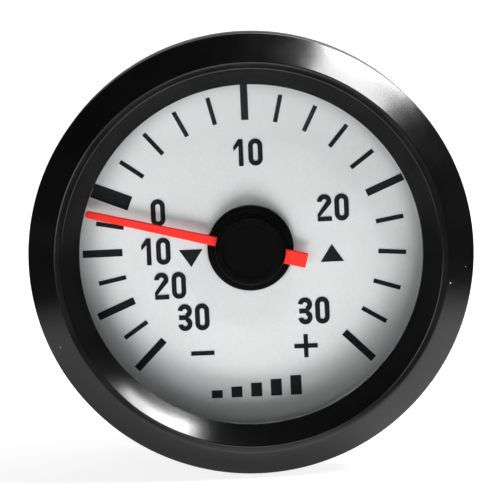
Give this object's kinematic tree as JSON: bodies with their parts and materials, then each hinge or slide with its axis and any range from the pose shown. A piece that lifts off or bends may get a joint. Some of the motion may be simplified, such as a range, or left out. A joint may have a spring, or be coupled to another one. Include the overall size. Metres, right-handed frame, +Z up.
{
  "type": "boost gauge",
  "caption": "Round panel gauge that shows engine inlet suction and boost pressure on a silver dial, with a black bezel, red pointer, rear clamp and hose nipple.",
  "frame": {"origin": "on the dial's axis, in the plane of the bezel's back face, where it meets the panel", "axes": "+Y along the axis towards the rear, the dial faces -Y; +Z up; +X to the reader's right"},
  "size_m": [0.06, 0.0617, 0.06],
  "materials": {
    "bezel_paint": "gloss black paint",
    "clear_glass": "clear polished glass",
    "black_rubber": "matt black rubber",
    "black_plastic": "satin black moulding",
    "silver_dial": "satin silver finish",
    "dial_ink": "matt black printing",
    "pointer_red": "satin red paint",
    "hub_black": "semi-gloss black plastic",
    "case_paint": "satin black paint",
    "brass": "turned brass",
    "spring_bronze": "drawn bronze",
    "steel": "turned steel",
    "zinc_steel": "bright zinc plate",
    "lamp_plastic": "matt moulded plastic"
  },
  "bodies": {
    "gauge": {"bezel": "bezel_paint", "lens": "clear_glass", "lens_gasket": "black_rubber", "rim_ring": "black_plastic", "dial": "silver_dial", "dial_marks": "dial_ink", "dial_numerals": "dial_ink", "dial_symbols": "dial_ink", "case_shell": "case_paint", "pressure_socket": "brass", "bourdon_tube": "spring_bronze", "rear_plate": "brass", "front_plate": "brass", "plate_pillars": "brass", "plate_screws": "steel", "socket_screws": "steel", "hairspring": "spring_bronze", "hairspring_stud": "brass", "stem_washer": "zinc_steel", "stem_nut": "brass", "hose_nipple": "brass", "mounting_studs": "zinc_steel"},
    "pointer": {"pinion_arbor": "steel", "pointer_hub": "hub_black", "pointer_blade": "pointer_red", "pointer_cap": "hub_black", "hairspring_collet": "brass"},
    "sector": {"sector_gear": "brass", "sector_arbor": "steel", "link_pin": "steel"},
    "link": {"link": "steel"},
    "tube_end": {"tube_tip": "brass"},
    "clamp": {"clamp_bracket": "zinc_steel", "lock_washers": "zinc_steel"},
    "nut_left": {"thumb_nut_left": "brass"},
    "nut_right": {"thumb_nut_right": "brass"},
    "lamp": {"bulb_holder": "lamp_plastic", "bulb": "clear_glass", "bulb_terminals": "brass"}
  },
  "joints": [
    {"name": "pointer_turn", "type": "hinge", "parent": "gauge", "child": "pointer", "pos_m": [0, 0, 0], "axis": [0, 1, 0], "range_deg": [-59.6, 210.4], "stiffness_Nm_per_rad": 0.002, "deforming": ["hairspring"]},
    {"name": "sector_turn", "type": "hinge", "parent": "gauge", "child": "sector", "pos_m": [0.00735, 0, -0.01273], "axis": [0, 1, 0], "range_deg": [-35.1, 9.95]},
    {"name": "link_turn", "type": "hinge", "parent": "sector", "child": "link", "pos_m": [0.01098, 0, -0.01442], "axis": [0, 1, 0], "range_deg": [-9.95, 35.1]},
    {"name": "tip_swing", "type": "hinge", "parent": "gauge", "child": "tube_end", "pos_m": [0.00052, 0, 0.00707], "axis": [0, 1, 0], "range_deg": [-7.25, 2.06], "deforming": ["bourdon_tube"]},
    {"name": "clamp_slide", "type": "slide", "parent": "gauge", "child": "clamp", "axis": [0, 1, 0], "range_m": [-0.002, 0.038]},
    {"name": "nut_left_turn", "type": "hinge", "parent": "clamp", "child": "nut_left", "pos_m": [-0.017, 0, 0], "axis": [0, 1, 0], "continuous": true},
    {"name": "nut_right_turn", "type": "hinge", "parent": "clamp", "child": "nut_right", "pos_m": [0.017, 0, 0], "axis": [0, 1, 0], "continuous": true},
    {"name": "lamp_pull", "type": "slide", "parent": "gauge", "child": "lamp", "axis": [0, 1, 0], "range_m": [0, 0.012]}
  ],
  "couplings": [
    {"joint": "sector_turn", "follows": "pointer_turn", "ratio": -0.16667},
    {"joint": "link_turn", "follows": "pointer_turn", "ratio": 0.16667},
    {"joint": "tip_swing", "follows": "pointer_turn", "ratio": -0.034386}
  ]
}
